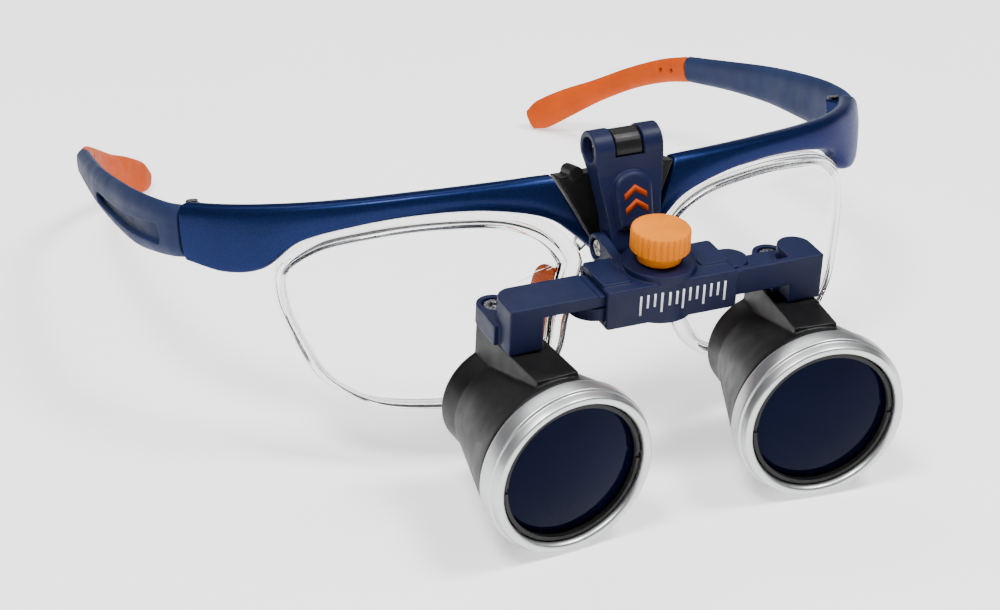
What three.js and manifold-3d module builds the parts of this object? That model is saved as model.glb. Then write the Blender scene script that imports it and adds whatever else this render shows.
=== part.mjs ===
// Flip-up dental loupes: a half-rim spectacle frame with a clip-in prescription insert, a flip
// hinge on the bridge, and a crossbar that carries two telescopes at an adjustable distance.
// Units are millimetres, +Z is up, -Y is the direction that the wearer looks in.
import * as THREE from "three";
import { mergeVertices } from "three/addons/utils/BufferGeometryUtils.js";
import Module from "manifold-3d";

const wasm = await Module();
wasm.setup();

// ---------------------------------------------------------------- driving dimensions
const degree = Math.PI / 180;
const gap = 0.3;                  // clearance kept between two separate pieces

// Where the groups stand when the loupes rest on the telescopes' rings and the temple tips.
const restTilt = 3.5 * degree;    // crossbar and telescopes, front raised
const framePitch = 16 * degree;   // spectacle frame against the telescopes, the declination
const frameOrigin = [0, 41.05, 30];
const liftOff = 16.785;           // height of the telescopes' centres over the floor
const depthShift = -91.884;       // puts the origin in the middle of the depth

// Telescopes
const objectiveHalfSpan = 25.9;   // half the distance between the objective centres
const toeIn = 5.14 * degree;      // each telescope converges on the working point
const ringRadius = 16.9;
const ringOpening = 14.5;
const ringBack = 4.6;
const ringBore = 16.05;           // the barrel's spigot sits in it
const barrelFrontRadius = 16.3;
const barrelFront = 2.8;
const barrelWaist = 8.6;          // where the wide front bore starts to taper
const barrelRearRadius = 11.0;
const barrelKink = 25;            // where the cone meets the rear cylinder
const barrelEnd = 30.9;
const frontBore = 14.3;
const rearBore = 9.4;
const ribWidth = 8.6;
const ribTop = 16.5;
const ribBack = 30.4;

// Crossbar with the pupil-distance rack
const armFront = 16.1;
const armBack = 24.9;
const blockCentre = 28.9;         // x of the block at each arm's end
const blockHalfWidth = 3.4;
const blockBottom = 16.8;
const blockTop = 26.0;
const lugShift = -1.15;           // the clamp lug stands off the block's middle, alike on both
const lugBack = 28.5;             // y of the clamp screw's axis
const lugRadius = 3.3;
const lugTop = 20.9;
const upperPlate = [23.6, 25.7];  // z of the left arm's plate inside the housing
const lowerPlate = [20.6, 23.3];  // z of the right arm's plate
const stepOut = 14.8;             // outside this x an arm is as tall as its block
const knobCentre = 21.6;          // y of the pinion, x is 0
const gearModule = 0.5;
const pinionTeeth = 8;
const pinionRadius = (gearModule * pinionTeeth) / 2;
const toothHeight = 0.45;         // addendum
const toothRoot = 0.65;           // dedendum
const toothThickness = 0.5;
const travelOut = 7.5;
const travelIn = 1.0;
const housingHalf = 13.5;
const housingFront = 15.1;
const housingBack = 26.9;
const housingBottom = 18.9;
const housingTop = 26.7;
const collarTop = 28.0;           // the round collar under the knob
const collarRadius = 6.9;
const channelBack = 25.5;

// Flip hinge
const flipPivot = [39.4, 43.3];   // y, z of the upper axis
const tiltPivot = [32.8, 26.0];   // y, z of the lower axis
const plateHalfWidth = 7.0;
const forkHalf = 3.0;
const tongueHalf = 5.3;
const earInner = 5.6;             // the housing's two ears hold the plate's tongue
const earOuter = 7.6;
const screwHole = 1.4;
const plateRecess = 2.8;          // depth of the hole that the flip screw's head sits in
const earRecess = 1.3;            // depth of the tilt screw's hole in the housing's ear

// Spectacle frame, in its own coordinates: x across, y back along the temples, z up
const wrapRadius = 104;           // the lenses' base curve
const barThickness = 3.6;
const rimDepth = 3.4;
const lensThickness = 1.8;
const hingePin = [71.4, 38.9];
const hingePinRadius = 0.6;

// ---------------------------------------------------------------- solids
function closed(geometry) {
  const bare = geometry.index ? geometry.toNonIndexed() : geometry.clone();
  bare.deleteAttribute("normal");
  bare.deleteAttribute("uv");
  return mergeVertices(bare, 1e-4);
}

function solid(geometry) {
  const g = closed(geometry);
  const p = g.attributes.position.array;
  const tri = new Uint32Array(g.index.array);
  const kept = [];
  let volume = 0;
  for (let i = 0; i < tri.length; i += 3) {
    const [a, b, c] = [tri[i], tri[i + 1], tri[i + 2]];
    if (a === b || b === c || a === c) continue;
    kept.push(a, b, c);
    const [ax, ay, az] = [p[3 * a], p[3 * a + 1], p[3 * a + 2]];
    const [bx, by, bz] = [p[3 * b], p[3 * b + 1], p[3 * b + 2]];
    const [cx, cy, cz] = [p[3 * c], p[3 * c + 1], p[3 * c + 2]];
    volume += ax * (by * cz - bz * cy) - ay * (bx * cz - bz * cx) + az * (bx * cy - by * cx);
  }
  if (volume < 0) {
    for (let i = 0; i < kept.length; i += 3) [kept[i], kept[i + 1]] = [kept[i + 1], kept[i]];
  }
  const mesh = new wasm.Mesh({
    numProp: 3,
    vertProperties: new Float32Array(p),
    triVerts: new Uint32Array(kept),
  });
  mesh.merge();
  return new wasm.Manifold(mesh);
}

function geometryOf(manifold) {
  const mesh = manifold.getMesh();
  const g = new THREE.BufferGeometry();
  g.setAttribute("position", new THREE.BufferAttribute(new Float32Array(mesh.vertProperties), 3));
  g.setIndex(new THREE.BufferAttribute(new Uint32Array(mesh.triVerts), 1));
  g.computeVertexNormals();
  return g;
}

function join(first, ...others) {
  return others.reduce((sum, next) => sum.add(next), first);
}

function cut(first, ...others) {
  return others.reduce((rest, next) => rest.subtract(next), first);
}

function mirrorX(manifold) {
  return manifold.mirror([1, 0, 0]);
}

// A box given by its two corners.
function block([x0, y0, z0], [x1, y1, z1]) {
  const g = new THREE.BoxGeometry(x1 - x0, y1 - y0, z1 - z0);
  g.translate((x0 + x1) / 2, (y0 + y1) / 2, (z0 + z1) / 2);
  return solid(g);
}

// A round bar along one axis: at holds the two fixed coordinates in x, y, z order.
function rod(axis, at, from, to, radius, sides = 24) {
  const g = new THREE.CylinderGeometry(radius, radius, to - from, sides);
  const middle = (from + to) / 2;
  if (axis === "x") {
    g.rotateZ(Math.PI / 2);
    g.translate(middle, at[0], at[1]);
  } else if (axis === "y") {
    g.translate(at[0], middle, at[1]);
  } else {
    g.rotateX(Math.PI / 2);
    g.translate(at[0], at[1], middle);
  }
  return solid(g);
}

// A ring or disc turned about the Y axis from a profile of [radius, y].
function turned(profile, sides = 48) {
  return solid(new THREE.LatheGeometry(profile.map(([r, y]) => new THREE.Vector2(r, y)), sides));
}

// An outline pushed along an axis. "x" reads the outline as (y, z), "y" as (x, z), "z" as (x, y).
function pushed(axis, outline, from, to, steps = 6) {
  const shape = outline instanceof THREE.Shape
    ? outline
    : new THREE.Shape(outline.map(([a, b]) => new THREE.Vector2(a, b)));
  const g = new THREE.ExtrudeGeometry(shape, {
    depth: to - from,
    bevelEnabled: false,
    curveSegments: steps,
  });
  g.translate(0, 0, from);
  if (axis === "x") {
    g.rotateX(Math.PI / 2);
    g.rotateZ(Math.PI / 2);
  } else if (axis === "y") {
    g.rotateX(Math.PI / 2);
    g.scale(1, -1, 1);
  }
  return solid(g);
}

function roundedRectangle(x0, y0, x1, y1, r) {
  const s = new THREE.Shape();
  s.moveTo(x0 + r, y0);
  s.lineTo(x1 - r, y0);
  s.absarc(x1 - r, y0 + r, r, -Math.PI / 2, 0);
  s.lineTo(x1, y1 - r);
  s.absarc(x1 - r, y1 - r, r, 0, Math.PI / 2);
  s.lineTo(x0 + r, y1);
  s.absarc(x0 + r, y1 - r, r, Math.PI / 2, Math.PI);
  s.lineTo(x0, y0 + r);
  s.absarc(x0 + r, y0 + r, r, Math.PI, 1.5 * Math.PI);
  return s;
}

// The outline round two circles, a link's side view.
function linkOutline([ax, ay], ra, [bx, by], rb, steps = 14) {
  const along = Math.atan2(by - ay, bx - ax);
  const lean = Math.acos((ra - rb) / Math.hypot(bx - ax, by - ay));
  const points = [];
  for (let i = 0; i <= steps; i += 1) {
    const t = along + lean + ((2 * Math.PI - 2 * lean) * i) / steps;
    points.push([ax + ra * Math.cos(t), ay + ra * Math.sin(t)]);
  }
  for (let i = 0; i <= steps; i += 1) {
    const t = along - lean + (2 * lean * i) / steps;
    points.push([bx + rb * Math.cos(t), by + rb * Math.sin(t)]);
  }
  return points;
}

// A skin over rings of points with the same count. Open lofts get flat fan ends.
function loft(rings, endless = false) {
  const count = rings[0].length;
  const position = rings.flat().flatMap((p) => [p.x, p.y, p.z]);
  const index = [];
  const spans = endless ? rings.length : rings.length - 1;
  for (let i = 0; i < spans; i += 1) {
    const here = i * count;
    const next = ((i + 1) % rings.length) * count;
    for (let j = 0; j < count; j += 1) {
      const k = (j + 1) % count;
      index.push(here + j, next + j, next + k, here + j, next + k, here + k);
    }
  }
  if (!endless) {
    for (const [start, flip] of [[0, false], [(rings.length - 1) * count, true]]) {
      const centre = position.length / 3;
      const middle = new THREE.Vector3();
      rings[start / count].forEach((p) => middle.addScaledVector(p, 1 / count));
      position.push(middle.x, middle.y, middle.z);
      for (let j = 0; j < count; j += 1) {
        const k = (j + 1) % count;
        if (flip) index.push(centre, start + k, start + j);
        else index.push(centre, start + j, start + k);
      }
    }
  }
  const g = new THREE.BufferGeometry();
  g.setAttribute("position", new THREE.BufferAttribute(new Float32Array(position), 3));
  g.setIndex(index);
  return solid(g);
}

const smooth = (points, isClosed = false) =>
  new THREE.CatmullRomCurve3(points, isClosed, "centripetal");
const v3 = (x, y, z) => new THREE.Vector3(x, y, z);

// ---------------------------------------------------------------- materials
function finish(color, roughness, metalness, extra = {}) {
  return () => new THREE.MeshStandardMaterial({ color, roughness, metalness, ...extra });
}
const metallicBlue = finish(0x1d4494, 0.34, 0.55);
const matteSlate = finish(0x33456f, 0.55, 0.1);
const navyPlastic = finish(0x1d2650, 0.5, 0.0);
const blackSatin = finish(0x1b1b1d, 0.5, 0.05);
const satinAluminium = finish(0xc9cbcd, 0.35, 0.9);
const coatedGlass = finish(0x0a0f3a, 0.05, 0.1);
const clearPlastic = finish(0xeef2f4, 0.08, 0.0, { transparent: true, opacity: 0.35 });
const clearGlass = finish(0xf4f8fa, 0.03, 0.0, { transparent: true, opacity: 0.2 });
const orangeRubber = finish(0xff6414, 0.6, 0.0);
const amberPlastic = finish(0xf9a52f, 0.42, 0.0);
const steel = finish(0xb9bcc0, 0.25, 0.95);

function piece(name, manifold, material) {
  const mesh = new THREE.Mesh(geometryOf(manifold), material());
  mesh.name = name;
  return mesh;
}

// ---------------------------------------------------------------- telescopes
function frontRing() {
  return turned([
    [ringOpening, -0.2], [14.9, -0.9], [16.0, -0.9], [16.45, 0.9], [ringRadius, 1.3],
    [ringRadius, ringBack], [ringBore, ringBack], [ringBore, 2.4], [ringOpening, 2.1],
    [ringOpening, -0.2],
  ], 40);
}

function retainingRing() {
  return turned([[13.4, 0.2], [14.2, 0.2], [14.2, 1.2], [13.4, 1.2], [13.4, 0.2]], 32);
}

function objectiveLens() {
  const edge = 13.9;
  const front = [0, 0.4, 0.75, 1].map((t) => [edge * t, 0.6 + 1.2 * t * t]);
  const back = [1, 0.6, 0].map((t) => [edge * t, 6.6 - 1.4 * t * t]);
  return turned([...front, ...back], 32);
}

function eyepieceLens() {
  const edge = rearBore - 0.4;
  const front = [0, 0.55, 1].map((t) => [edge * t, 26.6 - 1.2 * t * t]);
  const back = [1, 0.55, 0].map((t) => [edge * t, 27.7 + 1.1 * t * t]);
  return turned([...front, ...back], 24);
}

function eyepieceRing() {
  const outer = rearBore - gap;
  const inner = outer - 1.3;
  return turned([
    [inner, barrelEnd - 1.6], [outer, barrelEnd - 1.6], [outer, barrelEnd],
    [outer - 0.7, barrelEnd], [inner, barrelEnd - 0.9], [inner, barrelEnd - 1.6],
  ], 28);
}

// The barrel and the flat-topped rib that the arm's block clamps down on.
function barrel() {
  const spigot = ringBore - 0.35;
  const tube = turned([
    [frontBore, barrelFront], [spigot, barrelFront], [spigot, ringBack + gap],
    [barrelFrontRadius, ringBack + 0.4], [barrelRearRadius, barrelKink],
    [barrelRearRadius, barrelEnd - 0.7], [barrelRearRadius - 0.5, barrelEnd],
    [rearBore, barrelEnd], [rearBore, barrelKink], [frontBore, barrelWaist],
    [frontBore, barrelFront],
  ], 32);
  const half = ribWidth / 2;
  const rib = block([-half, 7.2, 8], [half, ribBack, ribTop]);
  const inside = turned([
    [0, 2], [frontBore, 2], [frontBore, barrelWaist], [rearBore, barrelKink], [rearBore, 34],
    [0, 34],
  ], 32);
  return cut(join(tube, rib), inside);
}

// ---------------------------------------------------------------- arms of the crossbar
function lugAxis(side) {
  return [side * blockCentre + lugShift, lugBack];
}

function armBlock(side) {
  const middle = side * blockCentre;
  const lug = lugAxis(side);
  const roundBack = armBack - blockHalfWidth;
  const body = join(
    block([middle - blockHalfWidth, armFront, blockBottom],
      [middle + blockHalfWidth, roundBack, blockTop]),
    rod("z", [middle, roundBack], blockBottom, blockTop, blockHalfWidth, 32),
    block([lug[0] - lugRadius, roundBack - 1, blockBottom],
      [lug[0] + lugRadius, lug[1], lugTop]),
    rod("z", lug, blockBottom, lugTop, lugRadius, 28),
  );
  const screwWay = join(
    rod("z", lug, blockBottom - 1, lugTop + 1, 1.35, 16),
    rod("z", lug, lugTop - 1.9, lugTop + 6, 2.25, 20),
  );
  return cut(body, screwWay);
}

// The toothed slot that the pinion runs in, teeth on the side that toothSide points to.
function rackSlot(from, to, [z0, z1], toothSide) {
  const tip = pinionRadius - toothHeight;
  const root = pinionRadius + toothRoot;
  const free = pinionRadius + toothHeight + 0.5;
  const pitch = Math.PI * gearModule;
  const lip = [];
  const first = Math.ceil((from + 0.3) / pitch + 0.5);
  const last = Math.floor((to - 0.3) / pitch - 0.5);
  for (let i = first; i <= last + 1; i += 1) {
    const x = (i - 0.5) * pitch;
    lip.push([x - toothThickness * 0.75, root], [x - toothThickness * 0.3, tip]);
    lip.push([x + toothThickness * 0.3, tip], [x + toothThickness * 0.75, root]);
  }
  const outline = [[from, -free], [from, root], ...lip, [to, root], [to, -free]];
  const placed = outline.map(([x, y]) => [x, knobCentre + toothSide * y]);
  return pushed("z", placed, z0 - 1, z1 + 1);
}

function leftArm() {
  const wide = -5;                      // the plate is full width outside this x
  const narrowFront = armFront + 1.9;   // it clears the right arm's front wall
  const narrowBack = 25.2;
  const endRadius = (narrowBack - narrowFront) / 2;
  const tip = 18.6;
  const [z0, z1] = upperPlate;
  const plate = join(
    block([-blockCentre, armFront, z0], [-stepOut, armBack, blockTop]),
    block([-blockCentre, armFront, z0], [wide, armBack, z1]),
    block([wide - 1, narrowFront, z0], [tip - endRadius, narrowBack, z1]),
    rod("z", [tip - endRadius, narrowFront + endRadius], z0, z1, endRadius, 32),
    armBlock(-1),
  );
  const reach = pinionRadius + 1.6;
  return cut(plate, rackSlot(-travelIn - reach, travelOut + reach, upperPlate, -1));
}

function rightArm() {
  const wallBack = armFront + 1.5;
  const plateBack = 25.2;
  const endRadius = (plateBack - armFront) / 2;
  const tip = -18.4;
  const [z0, z1] = lowerPlate;
  const wallInner = 5;
  const plate = join(
    block([tip + endRadius, armFront, z0], [blockCentre, plateBack, z1]),
    rod("z", [tip + endRadius, armFront + endRadius], z0, z1, endRadius, 32),
    block([wallInner, armFront, z0 + 0.5], [blockCentre, wallBack, upperPlate[1]]),
    block([stepOut, armFront, z0 + 0.5], [blockCentre, wallBack, blockTop]),
    armBlock(1),
  );
  const reach = pinionRadius + 1.6;
  return cut(plate, rackSlot(-travelOut - reach, travelIn + reach, lowerPlate, 1));
}

function clampScrew(side) {
  const axis = lugAxis(side);
  const headTop = lugTop - gap;
  const head = rod("z", axis, headTop - 1.3, headTop, 1.9, 24);
  const shank = rod("z", axis, 12.4, headTop - 1, 1.0, 16);
  const socket = rod("z", axis, headTop - 0.8, headTop + 1, 0.95, 6);
  return cut(join(head, shank), socket);
}

// ---------------------------------------------------------------- housing, knob and pinion
const shaftTop = 32.2;

function housing() {
  const padTop = housingTop + 0.4;
  const shell = join(
    pushed("y", roundedRectangle(-housingHalf, housingBottom, housingHalf, housingTop, 0.8),
      housingFront, housingBack, 3),
    rod("z", [0, knobCentre], housingBottom - 0.6, collarTop, collarRadius, 40),
    pushed("z", roundedRectangle(-housingHalf + 0.2, 17.5, -7.4, housingBack, 0.8),
      housingTop - 0.5, padTop, 3),
    pushed("z", roundedRectangle(7.4, 18.5, housingHalf - 0.2, housingBack, 0.8),
      housingTop - 0.5, padTop, 3),
  );
  const ear = pushed("x", linkOutline(tiltPivot, 2.9, [22, housingTop - 2.1], 2.5),
    earInner, earOuter);
  const recess = rod("x", tiltPivot, earOuter - earRecess, earOuter + 1, 2.0, 24);
  const earBore = rod("x", tiltPivot, earInner - 1, earOuter + 1, screwHole, 16);
  const finishedEar = cut(ear, recess, earBore);
  const channel = block([-housingHalf - 2, armFront - 0.25, lowerPlate[0] - gap],
    [housingHalf + 2, channelBack, upperPlate[1] + gap]);
  const shaftWay = join(
    rod("z", [0, knobCentre], lowerPlate[0] - 2, collarTop + 1, 2.85, 24),
    rod("z", [0, knobCentre], housingBottom - 3, housingTop, 1.5, 16),
  );
  return cut(join(shell, finishedEar, mirrorX(finishedEar)), channel, shaftWay);
}

function knob() {
  const flutes = 24;
  const radius = 5.65;
  const top = 34.9;
  const bottom = 30.4;
  const neckBottom = collarTop + gap;
  const rim = [];
  for (let i = 0; i < flutes; i += 1) {
    for (const [t, r] of [[0, radius], [0.5, radius], [0.75, radius - 0.32]]) {
      const a = (2 * Math.PI * (i + t)) / flutes;
      rim.push([r * Math.cos(a), knobCentre + r * Math.sin(a)]);
    }
  }
  const head = join(
    pushed("z", rim, bottom, top - 0.4),
    rod("z", [0, knobCentre], top - 0.5, top, radius - 0.4, 36),
  );
  const neck = rod("z", [0, knobCentre], neckBottom, bottom + 0.2, 4.2, 28);
  const bore = rod("z", [0, knobCentre], neckBottom - 1, shaftTop + gap, 1.5, 16);
  return cut(join(head, neck), bore);
}

function pinionShaft() {
  const teeth = [];
  const tip = pinionRadius + toothHeight;
  const root = pinionRadius - toothRoot;
  for (let i = 0; i < pinionTeeth; i += 1) {
    const middle = -Math.PI / 2 + (2 * Math.PI * i) / pinionTeeth;
    const halfRoot = (toothThickness * 0.66) / root;
    const halfTip = (toothThickness * 0.26) / tip;
    for (const [r, a] of [[root, -halfRoot], [tip, -halfTip], [tip, halfTip], [root, halfRoot]]) {
      teeth.push([r * Math.cos(middle + a), knobCentre + r * Math.sin(middle + a)]);
    }
  }
  const gear = pushed("z", teeth, lowerPlate[0], upperPlate[1]);
  const shaft = rod("z", [0, knobCentre], housingBottom, shaftTop, 1.2, 16);
  return join(gear, shaft);
}

// A cross-head screw across the part: from its head's face at the left to its tail.
function crossScrew([y, z], face, tail, headRadius, headThickness) {
  const slotEnd = face + headThickness * 0.5;
  const head = rod("x", [y, z], face, face + headThickness, headRadius, 24);
  const shank = rod("x", [y, z], slotEnd, tail, 1.1, 16);
  const slotA = block([face - 1, y - 1.3, z - 0.28], [slotEnd, y + 1.3, z + 0.28]);
  const slotB = block([face - 1, y - 0.28, z - 1.3], [slotEnd, y + 0.28, z + 1.3]);
  return cut(join(head, shank), slotA, slotB);
}

function flipScrew() {
  const thickness = 0.9;
  const face = plateRecess - gap - thickness - plateHalfWidth;
  return crossScrew(flipPivot, face, plateHalfWidth - 0.6, 2.0, thickness);
}

function tiltScrew() {
  const thickness = 0.6;
  const face = earRecess - gap - thickness - earOuter;
  return crossScrew(tiltPivot, face, earOuter - 0.4, 1.6, thickness);
}

// ---------------------------------------------------------------- flip plate
const plateLength = Math.hypot(tiltPivot[0] - flipPivot[0], tiltPivot[1] - flipPivot[1]);
const flipDirection = new THREE.Vector2(
  tiltPivot[0] - flipPivot[0], tiltPivot[1] - flipPivot[1]).normalize();
const plateTopRadius = 3.7;
const tongueRadius = 2.6;

// The knuckle's arm runs from the flip axis back and down to the bridge block.
const knuckleHalf = 2.7;
const knuckleRadius = 3.4;
const knuckleFoot = [42.5, 36.2];
const knuckleArmRadius = 2.6;

// A point in the plate's side view, measured from the flip axis down the plate and toward
// the working field at a right angle to it.
function onPlate(along, forward) {
  return [
    flipPivot[0] + flipDirection.x * along + flipDirection.y * forward,
    flipPivot[1] + flipDirection.y * along - flipDirection.x * forward,
  ];
}

function flipPlate() {
  const side = join(
    rod("x", flipPivot, -plateHalfWidth, plateHalfWidth, plateTopRadius, 40),
    rod("x", tiltPivot, -plateHalfWidth, plateHalfWidth, tongueRadius, 36),
    pushed("x", [
      onPlate(0, plateTopRadius), onPlate(5, 2.8), onPlate(plateLength, tongueRadius),
      onPlate(plateLength, -2.3), onPlate(5, -2.2), onPlate(0, -plateTopRadius),
    ], -plateHalfWidth, plateHalfWidth),
  );
  const halfOutline = [[tongueHalf, 20], [tongueHalf, 31], [5.8, 34], [6.5, 38], [plateHalfWidth, 42],
    [plateHalfWidth, 50]];
  const front = pushed("y", [
    ...halfOutline, ...halfOutline.map(([x, z]) => [-x, z]).reverse(),
  ], 20, 50);
  const panelShape = new THREE.Shape();
  panelShape.moveTo(-3.4, 28);
  panelShape.lineTo(3.4, 28);
  panelShape.lineTo(3.8, 36);
  panelShape.absellipse(0, 36, 3.8, 2.8, 0, Math.PI);
  panelShape.lineTo(-3.4, 28);
  const panel = pushed("y", panelShape, 20, 42, 10).intersect(pushed("x", [
    onPlate(3, 3.6), onPlate(plateLength - 3, 3.1),
    onPlate(plateLength - 3, 1), onPlate(3, 1),
  ], -5, 5));
  const room = join(
    rod("x", flipPivot, -forkHalf, forkHalf, knuckleRadius + 0.4, 48),
    pushed("x", linkOutline(flipPivot, knuckleRadius + 0.35, knuckleFoot, knuckleArmRadius + 0.6),
      -forkHalf, forkHalf),
  );
  const holes = join(
    rod("x", flipPivot, -plateHalfWidth - 1, -plateHalfWidth + plateRecess, 2.5, 28),
    rod("x", flipPivot, plateHalfWidth - 0.8, plateHalfWidth + 1, 2.0, 24),
    rod("x", flipPivot, -plateHalfWidth, plateHalfWidth, screwHole, 16),
    rod("x", tiltPivot, -plateHalfWidth, plateHalfWidth, screwHole, 16),
  );
  return cut(join(side.intersect(front), panel), room, holes);
}

// ---------------------------------------------------------------- spectacle frame
function wrap(x) {
  return wrapRadius - Math.sqrt(wrapRadius * wrapRadius - x * x);
}

// Front face of the brow bar in plan view.
const barPlan = smooth([
  v3(0, -2.6, 0), v3(13, -1.8, 0), v3(30, 1.9, 0), v3(45, 7.8, 0), v3(56, 14.2, 0),
  v3(64, 21.2, 0), v3(70, 28.2, 0), v3(75.2, 36, 0),
]);
const barPlanPoints = barPlan.getSpacedPoints(160);

function barPlanAt(x) {
  const i = Math.max(1, barPlanPoints.findIndex((p) => p.x >= x - 1e-9));
  const a = barPlanPoints[i - 1];
  const b = barPlanPoints[i] ?? barPlanPoints[barPlanPoints.length - 1];
  const t = (x - a.x) / (b.x - a.x);
  const slope = (b.y - a.y) / (b.x - a.x);
  const steep = Math.hypot(1, slope);
  return { y: a.y + (b.y - a.y) * t, nx: -slope / steep, ny: 1 / steep };
}

function browBar() {
  const topEdge = smooth([
    v3(13.1, 0, 7.6), v3(17, 0, 7.6), v3(21, 0, 7.5), v3(29, 0, 7.3), v3(38, 0, 7.0),
    v3(48, 0, 6.5), v3(58, 0, 6.0), v3(65, 0, 5.6), v3(71, 0, 5.3), v3(75, 0, 5.2),
  ]);
  const lowEdge = smooth([
    v3(4.9, 0, -8.6), v3(9.2, 0, -4.4), v3(14, 0, -0.7), v3(25, 0, 2.2), v3(37, 0, 2.7),
    v3(49, 0, 1.3), v3(58.5, 0, -1.5), v3(64.8, 0, -6.9), v3(70, 0, -7.8), v3(75, 0, -6.2),
  ]);
  const stations = 20;
  // share of the height, and share of the thickness, round one section
  const section = [
    [0.0, 0.35], [0.06, 0.06], [0.3, -0.1], [0.6, -0.1], [0.95, 0.1], [1.0, 0.4],
    [0.95, 1.0], [0.5, 1.0], [0.05, 1.0],
  ];
  const rings = [];
  for (let i = 0; i <= stations; i += 1) {
    const top = topEdge.getPoint(i / stations);
    const low = lowEdge.getPoint(i / stations);
    rings.push(section.map(([down, deep]) => {
      const x = THREE.MathUtils.lerp(top.x, low.x, down);
      const z = THREE.MathUtils.lerp(top.z, low.z, down);
      const plan = barPlanAt(Math.min(x, 75.19));
      const depth = deep * barThickness;
      return v3(x + plan.nx * depth, plan.y + plan.ny * depth, z);
    }));
  }
  const lugs = join(
    pushed("z", linkOutline(hingePin, 1.7, [71.6, 35.4], 1.5, 8), 1.9, 4.4),
    pushed("z", linkOutline(hingePin, 1.7, [71.6, 35.4], 1.5, 8), -4.8, -1.9),
  );
  return cut(
    join(loft(rings), lugs),
    rod("z", hingePin, -1.9, 1.9, 2.05, 24),
    rod("z", hingePin, -7, 7, hingePinRadius + 0.25, 12),
  );
}

function bridgeBlock() {
  const top = 7.4;
  const bottom = -8.9;
  const front = -2.4;
  const back = barThickness - 1.6;
  const wedge = pushed("y", [[-12.1, top], [-4.2, bottom], [4.2, bottom], [12.1, top]], front, back);
  const shoulder = rod("y", [8.4, top + 0.2], front - 0.2, back, 1.4, 20);
  return join(wedge, shoulder, mirrorX(shoulder));
}

// The knuckle is part of the bridge block but its axis is set out in the crossbar's coordinates.
function knuckle() {
  const bodyOutline = linkOutline(flipPivot, knuckleRadius, knuckleFoot, knuckleArmRadius);
  const post = pushed("x", bodyOutline, -knuckleHalf, knuckleHalf);
  return cut(post, rod("x", flipPivot, -knuckleHalf - 1, knuckleHalf + 1, screwHole, 16));
}

function intoFrame(manifold) {
  const m = new THREE.Matrix4().makeRotationX(-framePitch);
  m.setPosition(...frameOrigin);
  m.invert();
  return manifold.transform(m.elements);
}

const rimOutline = smooth([
  v3(20, 0, 0.9), v3(33, 0, 2.1), v3(45, 0, 1.2), v3(55.5, 0, -1.5), v3(61.4, 0, -6.6),
  v3(61.8, 0, -13), v3(59.5, 0, -21), v3(56, 0, -28.5), v3(49, 0, -34), v3(38, 0, -36),
  v3(26, 0, -35.6), v3(17, 0, -33), v3(12.4, 0, -27.5), v3(10.4, 0, -21), v3(8.4, 0, -15),
  v3(6.9, 0, -9.6), v3(11.6, 0, -3.0),
], true);
const rimWidths = [
  3.4, 3.1, 2.9, 2.5, 2.0, 1.9, 1.8, 1.8, 1.8, 1.8, 1.9, 2.4, 3.2, 3.7, 4.2, 4.4, 4.0,
];
const rimSteps = 44;

function rimPoint(i) {
  const u = (i % rimSteps) / rimSteps;
  const p = rimOutline.getPoint(u);
  const t = rimOutline.getTangent(u);
  const at = u * rimWidths.length;
  const low = Math.floor(at);
  const width = THREE.MathUtils.lerp(
    rimWidths[low % rimWidths.length], rimWidths[(low + 1) % rimWidths.length], at - low);
  return { x: p.x, z: p.z, inX: t.z, inZ: -t.x, width };
}

function insertRim() {
  const rings = [];
  for (let i = 0; i < rimSteps; i += 1) {
    const p = rimPoint(i);
    const section = [
      [0.2, 0], [0.8, 0], [1, 0.25], [1, 1], [0.15, 1], [0, 0.75],
    ];
    rings.push(section.map(([inward, deep]) => {
      const x = p.x + p.inX * p.width * inward;
      const z = p.z + p.inZ * p.width * inward;
      return v3(x, wrap(x) + rimDepth * deep, z);
    }));
  }
  return loft(rings, true);
}

function insertLens() {
  const outline = [];
  for (let i = 0; i < rimSteps; i += 1) {
    const p = rimPoint(i);
    const inset = p.width + gap;
    outline.push([p.x + p.inX * inset, p.z + p.inZ * inset]);
  }
  const centre = [36, -17];
  const shares = [0.5, 1];
  const front = [];
  const back = [];
  for (const share of shares) {
    front.push(outline.map(([x, z]) => {
      const px = THREE.MathUtils.lerp(centre[0], x, share);
      return v3(px, wrap(px) + 0.8, THREE.MathUtils.lerp(centre[1], z, share));
    }));
    back.push(outline.map(([x, z]) => {
      const px = THREE.MathUtils.lerp(centre[0], x, share);
      const py = wrap(px) + 0.8 + lensThickness;
      return v3(px, py, THREE.MathUtils.lerp(centre[1], z, share));
    }));
  }
  return loft([...front, ...back.reverse()]);
}

function insertBridge() {
  const path = smooth([v3(-6.7, 3.5, -7.6), v3(-3, 3.6, -5.6), v3(3, 3.6, -5.6), v3(6.7, 3.5, -7.6)]);
  const rings = path.getPoints(8).map((p) => [
    [0, -1.6], [1.1, -1.0], [1.1, 1.0], [0, 1.6], [-1.1, 1.0], [-1.1, -1.0],
  ].map(([dy, dz]) => v3(p.x, p.y + dy, p.z + dz)));
  return loft(rings);
}

function nosePad() {
  const rings = [];
  const height = 8.0;
  for (const t of [-1, -0.86, -0.55, -0.15, 0.25, 0.6, 0.88, 1]) {
    const full = Math.sqrt(Math.max(0.03, 1 - t * t));
    const z = -19.4 + height * t;
    const x = 12.2 - 0.9 * t + 0.6 * t * t;
    const y = 8.4 - 1.1 * t;
    const ring = [];
    for (let j = 0; j < 14; j += 1) {
      const a = (2 * Math.PI * j) / 14;
      ring.push(v3(x + 1.35 * full * Math.cos(a) + 1.5 * full * Math.sin(a),
        y + 4 * full * Math.sin(a) - 0.4 * full * Math.cos(a), z));
    }
    rings.push(ring);
  }
  return loft(rings);
}

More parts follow.
